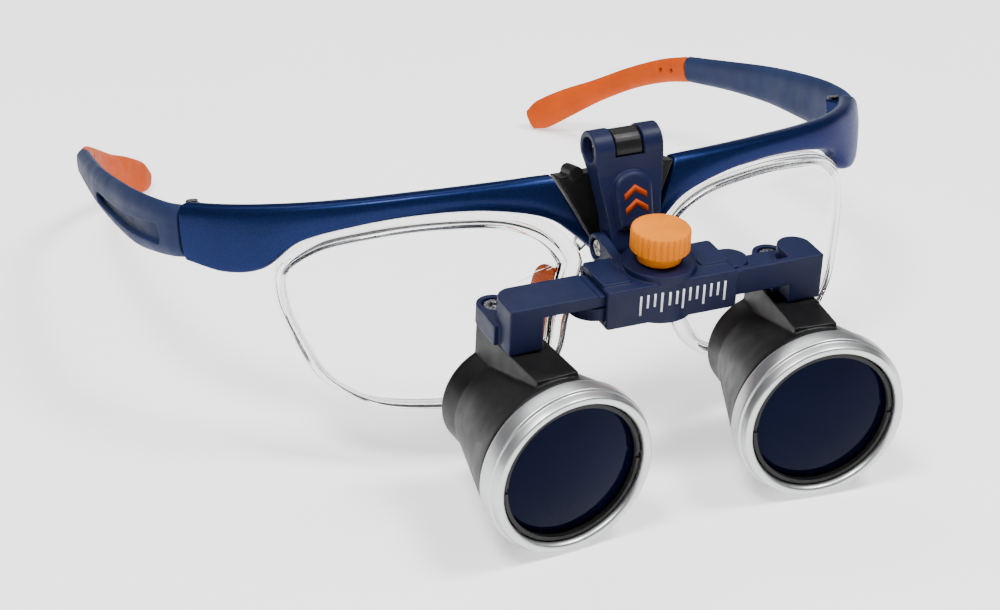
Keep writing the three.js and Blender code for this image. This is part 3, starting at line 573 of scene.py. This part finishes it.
def joined(name, shapes):
    bm = bmesh.new()
    for shape in shapes:
        bm.from_mesh(shape.data)
        bpy.data.objects.remove(shape)
    mesh = bpy.data.meshes.new(name)
    bm.to_mesh(mesh)
    bm.free()
    shape = bpy.data.objects.new(name, mesh)
    bpy.context.scene.collection.objects.link(shape)
    return shape


def knob():
    """The fluted head is one skin of rings over its height, then the neck below it."""
    flutes = 28
    top, bottom, radius = 34.9, 30.4, 5.65
    levels = [(28.3, 3.9, 0), (28.4, 4.15, 0), (28.6, 4.2, 0), (30.1, 4.2, 0), (30.35, 4.5, 0),
              (bottom, 4.95, 0.2), (bottom + 0.12, 5.43, 0.7), (bottom + 0.35, radius, 1),
              (top - 1.1, radius, 1), (top - 0.5, radius - 0.03, 0.8),
              (top - 0.2, radius - 0.16, 0.3), (top - 0.05, radius - 0.4, 0),
              (top, radius - 0.7, 0), (top, radius - 1.6, 0), (top - 0.06, radius - 2.4, 0),
              (top - 0.1, 0.6, 0)]
    around = flutes * 14
    rings = []
    for z, r, share in levels:
        ring = []
        for i in range(around):
            a = 2 * math.pi * i / around
            dip = max(0.0, math.cos(flutes * a)) ** 0.8
            rr = r - 0.36 * share * dip
            ring.append((rr * math.cos(a), KNOB_CENTRE + rr * math.sin(a), z))
        rings.append(ring)
    shape = loft("pd_knob_head", rings)
    finish_piece(shape, CROSSBAR, "knob", AMBER, ["pd_knob"])


def on_plate(x, along, forward):
    """A point on the flip plate: across, down from the flip axis, and out toward the work."""
    span = math.dist(FLIP_PIVOT, TILT_PIVOT)
    dy = (TILT_PIVOT[0] - FLIP_PIVOT[0]) / span
    dz = (TILT_PIVOT[1] - FLIP_PIVOT[1]) / span
    return (x, FLIP_PIVOT[0] + dy * along + dz * forward, FLIP_PIVOT[1] + dz * along - dy * forward)


def flip_plate():
    shape = copy_of("flip_plate", "flip_bracket", CROSSBAR)
    arch = [(-3.6, 15.5), (3.6, 15.5)]
    arch += [(4.0 * math.cos(a), 7.6 - 3.2 * math.sin(a)) for a in np.linspace(0, math.pi, 40)]
    rings = []
    for forward, share in ((2.2, 1.0), (2.9, 0.99), (3.45, 0.95), (3.85, 0.87), (4.0, 0.78)):
        rings.append([on_plate(x * share, 11 + (a - 11) * share, forward) for x, a in arch])
    combine(shape, [loft("panel", rings)], "UNION")
    soften(shape, 0.13, 9)
    finish_piece(shape, CROSSBAR, "flip_link", NAVY, ["flip_plate"])


def lift_chevrons():
    """Two plain chevrons on the flip plate's panel, pointing the way it lifts."""
    marks = []
    for base in (10.0, 12.7):
        outline = [(-2.3, base), (0, base - 1.6), (2.3, base), (2.3, base - 1.25), (0, base - 2.85),
                   (-2.3, base - 1.25)]
        rings = [[on_plate(x, along, forward) for x, along in outline] for forward in (3.6, 4.07)]
        marks.append(loft("chevron", rings))
    return joined("lift_chevrons", marks)


# ---------------------------------------------------------------- spectacle frame
def wrap(x):
    return WRAP_RADIUS - np.sqrt(WRAP_RADIUS**2 - np.asarray(x, float) ** 2)


BAR_PLAN = spline([(0, -2.6), (13, -1.8), (30, 1.9), (45, 7.8), (56, 14.2), (64, 21.2),
                   (70, 28.2), (75.2, 36)], 400)


def bar_plan_at(x):
    """y of the bar's front face in plan, and the face's inward normal."""
    y = np.interp(x, BAR_PLAN[:, 0], BAR_PLAN[:, 1])
    slope = np.interp(x, BAR_PLAN[:, 0], np.gradient(BAR_PLAN[:, 1], BAR_PLAN[:, 0]))
    steep = math.hypot(1, slope)
    return y, -slope / steep, 1 / steep


def brow_bar(side, name):
    stations = 130
    top = spline([(13.1, 7.6), (17, 7.6), (21, 7.5), (29, 7.3), (38, 7.0), (48, 6.5), (58, 6.0),
                  (65, 5.6), (71, 5.3), (75, 5.2)], stations)
    low = spline([(4.9, -8.6), (9.2, -4.4), (14, -0.7), (25, 2.2), (37, 2.7), (49, 1.3),
                  (58.5, -1.5), (64.8, -6.9), (70, -7.8), (75, -6.2)], stations)
    section = spline([(0.0, 0.42), (0.035, 0.12), (0.13, -0.06), (0.4, -0.14), (0.7, -0.1),
                      (0.93, 0.04), (0.99, 0.3), (0.995, 0.75), (0.95, 1.0), (0.5, 1.0),
                      (0.06, 1.0), (0.005, 0.8)], 44, closed=True)
    rings = []
    for t, b in zip(top, low):
        ring = []
        for down, deep in section:
            x = t[0] + (b[0] - t[0]) * down
            z = t[1] + (b[1] - t[1]) * down
            y, nx, ny = bar_plan_at(min(x, 75.19))
            depth = deep * BAR_THICKNESS
            ring.append((x + nx * depth, y + ny * depth, z))
        rings.append(ring)
    bar = loft(f"bar_{name}", rings)
    ear = link_outline(HINGE_PIN, HINGE_EYE, (71.6, 35.4), 1.5)
    combine(bar, [pushed("lug", "z", ear, 1.9, 4.4), pushed("lug", "z", ear, -4.8, -1.9)], "UNION")
    combine(bar, [rod("gap", "z", HINGE_PIN, -1.9, 1.9, HINGE_CLEARANCE, 48),
                  rod("bore", "z", HINGE_PIN, -7, 7, HINGE_BORE, 32)], "DIFFERENCE")
    soften(bar, 0.17, 5)
    finish_piece(mirrored(bar, side), SPECTACLES, "spectacle_frame", BLUE,
                 [f"brow_bar_{name}"])


def bridge_block():
    shape = soften(copy_of("bridge_block", "bridge", SPECTACLES), 0.13, 8)
    finish_piece(shape, SPECTACLES, "spectacle_frame", BLACK, ["bridge_block"])


RIM_CORNERS = [(20, 0.9), (33, 2.1), (45, 1.2), (55.5, -1.5), (61.4, -6.6), (61.8, -13),
               (59.5, -21), (56, -28.5), (49, -34), (38, -36), (26, -35.6), (17, -33),
               (12.4, -27.5), (10.4, -21), (8.4, -15), (6.9, -9.6), (11.6, -3.0)]
RIM_WIDTHS = [3.4, 3.1, 2.9, 2.5, 2.0, 1.9, 1.8, 1.8, 1.8, 1.8, 1.9, 2.4, 3.2, 3.7, 4.2, 4.4, 4.0]
RIM_STEPS = 272


def rim_line():
    """Outer edge of the insert's rim with its inward direction and width, as rows."""
    outline = spline(RIM_CORNERS, RIM_STEPS, closed=True)
    along = np.roll(outline, -1, axis=0) - np.roll(outline, 1, axis=0)
    along /= np.linalg.norm(along, axis=1)[:, None]
    at = np.arange(RIM_STEPS) * len(RIM_WIDTHS) / RIM_STEPS
    width = np.interp(at, np.arange(len(RIM_WIDTHS) + 1), [*RIM_WIDTHS, RIM_WIDTHS[0]])
    smooth_width = sum(np.roll(width, k) for k in range(-6, 7)) / 13
    return np.column_stack([outline, along[:, 1], -along[:, 0], smooth_width])


def insert_rim(side, name):
    section = spline([(0.0, 0.42), (0.05, 0.12), (0.3, 0.0), (0.55, 0.1), (0.7, 0.3), (0.8, 0.2),
                      (0.95, 0.22), (1.0, 0.45), (0.98, 0.8), (0.82, 0.9), (0.68, 0.82),
                      (0.45, 0.98), (0.15, 0.95), (0.01, 0.72)], 44, closed=True)
    rings = []
    for x, z, in_x, in_z, width in rim_line():
        ring = []
        for inward, deep in section:
            px = x + in_x * width * inward
            ring.append((px, float(wrap(px)) + RIM_DEPTH * deep, z + in_z * width * inward))
        rings.append(ring)
    rim = loft(f"rim_{name}", rings, endless=True)
    finish_piece(mirrored(rim, side), SPECTACLES, "spectacle_frame", CLEAR_PLASTIC,
                 [f"insert_rim_{name}"])


def insert_lens(side, name):
    line = rim_line()
    inset = line[:, 4] + 0.3
    edge = np.column_stack([line[:, 0] + line[:, 2] * inset, line[:, 1] + line[:, 3] * inset])
    centre = np.array([36, -17])
    shares = (0.1, 0.25, 0.4, 0.55, 0.7, 0.85, 0.97, 1.0)
    rings = []
    for order, face, bevelled in ((shares, 0.8, 0.95), (shares[::-1], 2.6, 2.45)):
        for share in order:
            xz = centre + (edge - centre) * share
            depth = face if share < 1 else bevelled
            rings.append([(x, float(wrap(x)) + depth, z) for x, z in xz])
    shape = loft(f"prescription_lens_{name}", rings)
    finish_piece(mirrored(shape, side), SPECTACLES, "spectacle_frame", CLEAR_LENS,
                 [f"insert_lens_{name}"])


def insert_bridge():
    path = spline([(-6.7, 3.5, -7.6), (-3, 3.6, -5.6), (3, 3.6, -5.6), (6.7, 3.5, -7.6)], 40)
    section = spline([(0, -1.6), (1.1, -1.0), (1.1, 1.0), (0, 1.6), (-1.1, 1.0), (-1.1, -1.0)], 24,
                     closed=True)
    rings = [[(p[0], p[1] + dy, p[2] + dz) for dy, dz in section] for p in path]
    finish_piece(loft("insert_link", rings), SPECTACLES, "spectacle_frame", CLEAR_PLASTIC,
                 ["insert_bridge"])


def nose_pad(side, name):
    rings = []
    for i in range(41):
        t = -math.cos(math.pi * i / 40)
        full = math.sqrt(max(0.002, 1 - t * t)) ** 0.8
        x, y, z = 12.2 - 0.9 * t + 0.6 * t * t, 8.4 - 1.1 * t, -19.4 + 8.0 * t
        ring = []
        for j in range(36):
            a = 2 * math.pi * j / 36
            ring.append((x + 1.35 * full * math.cos(a) + 1.5 * full * math.sin(a),
                         y + 4.0 * full * math.sin(a) - 0.4 * full * math.cos(a), z))
        rings.append(ring)
    pad = loft(f"pad_{name}", rings)
    finish_piece(mirrored(pad, side), SPECTACLES, "spectacle_frame", ORANGE,
                 [f"nose_pad_{name}"])


def nose_pad_arm(side, name):
    path = spline([(12.2, RIM_DEPTH + 1.2, -20.5), (14.6, 5.3, -19.8), (16.4, 7.2, -19),
                   (16.0, 8.5, -18.9), (14.25, 8.8, -18.8)], 40)
    rings = []
    for i, p in enumerate(path):
        along = Vector(path[min(i + 1, len(path) - 1)] - path[max(i - 1, 0)]).normalized()
        across = Vector((0, 0, 1)).cross(along).normalized()
        up = along.cross(across)
        ring = []
        for j in range(16):
            a = 2 * math.pi * j / 16
            ring.append(Vector(p) + across * 0.5 * math.cos(a) + up * 0.5 * math.sin(a))
        rings.append(ring)
    wire = loft(f"pad_wire_{name}", rings)
    finish_piece(mirrored(wire, side), SPECTACLES, "spectacle_frame", STEEL,
                 [f"nose_pad_arm_{name}"])


POCKET_STEPS = 72
TEMPLE_STATIONS = [
    (75.5, 36.55, -0.45, 5.3, 3.4), (77.2, 39.5, -0.45, 5.4, 3.5), (79.0, 46, -0.4, 5.6, 3.6),
    (80.3, 55, -0.3, 5.7, 3.7), (80.6, 66, 0.2, 5.2, 3.7), (80.1, 80, 0.8, 4.3, 3.6),
    (78.2, 96, 0.9, 3.5, 3.4), (75.9, 111.2, 0.7, 3.1, 3.2)]
TIP_STATIONS = [
    (75.75, 111.9, 0.65, 3.1, 3.3), (73.2, 120, -0.4, 2.9, 3.4), (69.0, 130, -3.0, 2.7, 3.5),
    (63.6, 139, -6.6, 2.8, 3.6), (58.2, 146, -9.9, 3.5, 3.7), (53.6, 151, -12.8, 3.7, 3.6),
    (51.0, 153.6, -14.4, 2.5, 2.8)]


def temple_rings(stations, steps, rounding):
    path = spline([s[:3] for s in stations], steps)
    sizes = spline([(s[3], s[4], i) for i, s in enumerate(stations)], steps)
    r = rounding
    section = spline([(-1, 0.5), (1.15 * r - 1, 0.06), (-0.3, 0), (0.3, 0), (1 - 1.15 * r, 0.06),
                      (1, 0.5), (1 - r, 0.93), (0, 1), (r - 1, 0.93)], 40, closed=True)
    rings = []
    for i, p in enumerate(path):
        t = path[min(i + 1, steps)] - path[max(i - 1, 0)]
        t /= np.linalg.norm(t)
        flat = math.hypot(t[0], t[1])
        inward = np.array([-t[1] / flat, t[0] / flat, 0])
        up = np.array([-t[0] * t[2] / flat, -t[1] * t[2] / flat, 1])
        up /= np.linalg.norm(up)
        half, thick = sizes[i][:2]
        rings.append([p + up * high * half + inward * deep * thick for high, deep in section])
    return rings


def temple_pocket():
    """The long recess in the temple's outer face, round at the front and tapering to the back."""
    path = spline([(77.85, 41.6, -1.35)]
                  + [(x, y, z - 0.9) for x, y, z, _, _ in TEMPLE_STATIONS[2:6]], POCKET_STEPS)
    rings = []
    for i, p in enumerate(path):
        u = i / POCKET_STEPS
        t = path[min(i + 1, POCKET_STEPS)] - path[max(i - 1, 0)]
        flat = math.hypot(t[0], t[1])
        outward = np.array([t[1] / flat, -t[0] / flat, 0])
        start = math.sqrt(max(0.02, 1 - max(0, 1 - u / 0.06) ** 2))
        end = math.sqrt(max(0.02, 1 - max(0, 1 - (1 - u) / 0.05) ** 2))
        half = (2.4 - 1.2 * u) * start * end
        rings.append([p + np.array([0, 0, high]) * half + outward * out
                      for high, out in ((-0.8, -1.3), (0.8, -1.3), (1.15, 2), (-1.15, 2))])
    return loft("pocket", rings)


def temple(side, name):
    shape = loft(f"temple_arm_{name}", temple_rings(TEMPLE_STATIONS, 90, 0.3))
    web = pushed("web", "z", link_outline(HINGE_PIN, HINGE_EYE, (74.6, 41.6), 1.4), -1.6, 1.6)
    combine(shape, [web], "UNION")
    combine(shape, [rod("top", "z", HINGE_PIN, 1.6, 7, HINGE_CLEARANCE, 48),
                    rod("base", "z", HINGE_PIN, -7, -1.6, HINGE_CLEARANCE, 48),
                    rod("bore", "z", HINGE_PIN, -7, 7, HINGE_BORE, 32), temple_pocket()],
            "DIFFERENCE")
    soften(shape, 0.17, 5)
    finish_piece(mirrored(shape, side), SPECTACLES, f"temple_{name}_arm", SLATE,
                 [f"temple_{name}"])


def temple_tip(side, name):
    shape = loft(f"tip_{name}", temple_rings(TIP_STATIONS, 80, 0.42))
    dimples = []
    for y in (115.2, 118.6):
        dimples.append(rod("dimple", "x", (y, 0.2), 60, 72.6 - (y - 115.2) * 0.33, 0.55, 24))
    combine(shape, dimples, "DIFFERENCE")
    soften(shape, 0.17, 6)
    finish_piece(mirrored(shape, side), SPECTACLES, f"temple_{name}_arm", ORANGE,
                 [f"temple_tip_{name}"])


# ---------------------------------------------------------------- the object
for side_name, side_sign in SIDES:
    telescope_body = f"telescope_{side_name}"
    front_ring(side_sign, side_name)
    retaining_ring(side_sign, side_name)
    lens(f"objective_{side_name}", 13.9, (0.6, 1.8), (6.6, 5.2), side_sign, telescope_body,
         OBJECTIVE, f"objective_lens_{side_name}")
    lens(f"eyepiece_{side_name}", 9.0, (26.6, 25.4), (27.7, 28.8), side_sign, telescope_body,
         EYE_LENS, f"eyepiece_lens_{side_name}")
    eyepiece_ring(side_sign, side_name)
    barrel(side_sign, side_name)
    arm(side_name)
    screw(f"clamp_screw_{side_name}", f"slider_{side_name}", STEEL)
    brow_bar(side_sign, side_name)
    insert_rim(side_sign, side_name)
    insert_lens(side_sign, side_name)
    nose_pad(side_sign, side_name)
    nose_pad_arm(side_sign, side_name)
    temple(side_sign, side_name)
    temple_tip(side_sign, side_name)
    for node in ("hinge_pin", "bridge_screw"):
        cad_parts[f"{node}_{side_name}"].data.materials.clear()
        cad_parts[f"{node}_{side_name}"].data.materials.append(BLACKENED)

housing()
knob()
flip_plate()
bridge_block()
insert_bridge()
screw("flip_screw", "flip_link", COPPERY)
screw("tilt_screw", "crossbar", COPPERY)
finish_piece(setting_ticks(), CROSSBAR, "crossbar", WHITE_PRINT)
finish_piece(lift_chevrons(), CROSSBAR, "flip_link", ORANGE_PRINT)
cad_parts["pinion_shaft"].data.materials.clear()
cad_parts["pinion_shaft"].data.materials.append(STEEL)


# ---------------------------------------------------------------- floor, light and camera
def floor():
    mesh = bpy.data.meshes.new("floor")
    low = cad_box[0].z
    corners = ((-1, -1), (1, -1), (1, 1), (-1, 1))
    mesh.from_pydata([(x * FLOOR_HALF, y * FLOOR_HALF, low) for x, y in corners], [],
                     [(0, 1, 2, 3)])
    shape = bpy.data.objects.new("floor", mesh)
    bpy.context.scene.collection.objects.link(shape)
    material, shader = new_material("pale_floor", (0.9, 0.9, 0.9), 0.6)
    tone = spread(material, noise(material, 60, 2), 0, 1)
    link(material, mixed(material, tone, (0.93, 0.93, 0.93), (0.96, 0.96, 0.96)),
         shader.inputs["Base Color"])
    shader.inputs["Specular IOR Level"].default_value = 0.1
    shader.inputs["Emission Color"].default_value = (1, 1, 1, 1)
    shader.inputs["Emission Strength"].default_value = 0.8
    mesh.materials.append(material)


def softbox(name, place, aim, size, power):
    light = bpy.data.lights.new(name, "AREA")
    light.shape = "RECTANGLE"
    light.size, light.size_y = size
    light.energy = power
    lamp = bpy.data.objects.new(name, light)
    lamp.location = place
    lamp.rotation_euler = (Vector(aim) - Vector(place)).to_track_quat("-Z", "Y").to_euler()
    bpy.context.scene.collection.objects.link(lamp)


def studio():
    centre = (cad_box[0] + cad_box[1]) / 2
    for name, sign in SIDES:
        place = centre + Vector((sign * 0.40, -0.28, 0.95))
        softbox(f"key_{name}", place, centre, (0.3, 0.3), 12.5)
    softbox("top_back", centre + Vector((0.0, 0.6, 0.8)), centre, (0.9, 0.25), 4.0)
    world = bpy.data.worlds.new("studio")
    world.use_nodes = True
    nodes = world.node_tree.nodes
    links = world.node_tree.links
    place = nodes.new("ShaderNodeTexCoord")
    height = nodes.new("ShaderNodeSeparateXYZ")
    ramp = nodes.new("ShaderNodeValToRGB")
    ramp.color_ramp.elements[0].position = 0.05
    ramp.color_ramp.elements[0].color = (0.25, 0.25, 0.26, 1)
    ramp.color_ramp.elements[1].position = 0.75
    ramp.color_ramp.elements[1].color = (1, 1, 1, 1)
    links.new(place.outputs["Generated"], height.inputs["Vector"])
    links.new(height.outputs["Z"], ramp.inputs["Fac"])
    links.new(ramp.outputs["Color"], nodes["Background"].inputs["Color"])
    nodes["Background"].inputs["Strength"].default_value = 0.15
    bpy.context.scene.world = world


def camera():
    """The camera's turn and distance are set in the crossbar's own frame."""
    azimuth, elevation, roll = (math.radians(a) for a in (-25.07, 29.94, 2.62))
    across, rise, distance = 36.95, -26.02, 476.56
    back = Vector((math.sin(azimuth) * math.cos(elevation),
                   -math.cos(azimuth) * math.cos(elevation), math.sin(elevation)))
    level = Vector((math.cos(azimuth), math.sin(azimuth), 0))
    above = back.cross(level)
    right = level * math.cos(roll) + above * math.sin(roll)
    up = above * math.cos(roll) - level * math.sin(roll)
    place = back * distance - right * across - up * rise
    turn = Matrix((right, up, back)).transposed()
    lens_data = bpy.data.cameras.new("camera")
    lens_data.lens = 93.38
    lens_data.sensor_width = 36
    lens_data.clip_start = 0.01
    seen_from = bpy.data.objects.new("camera", lens_data)
    seen_from.location = CROSSBAR @ place
    seen_from.rotation_euler = (Matrix.Rotation(REST_TILT, 3, "X") @ turn).to_euler()
    bpy.context.scene.collection.objects.link(seen_from)
    bpy.context.scene.camera = seen_from


floor()
studio()
camera()
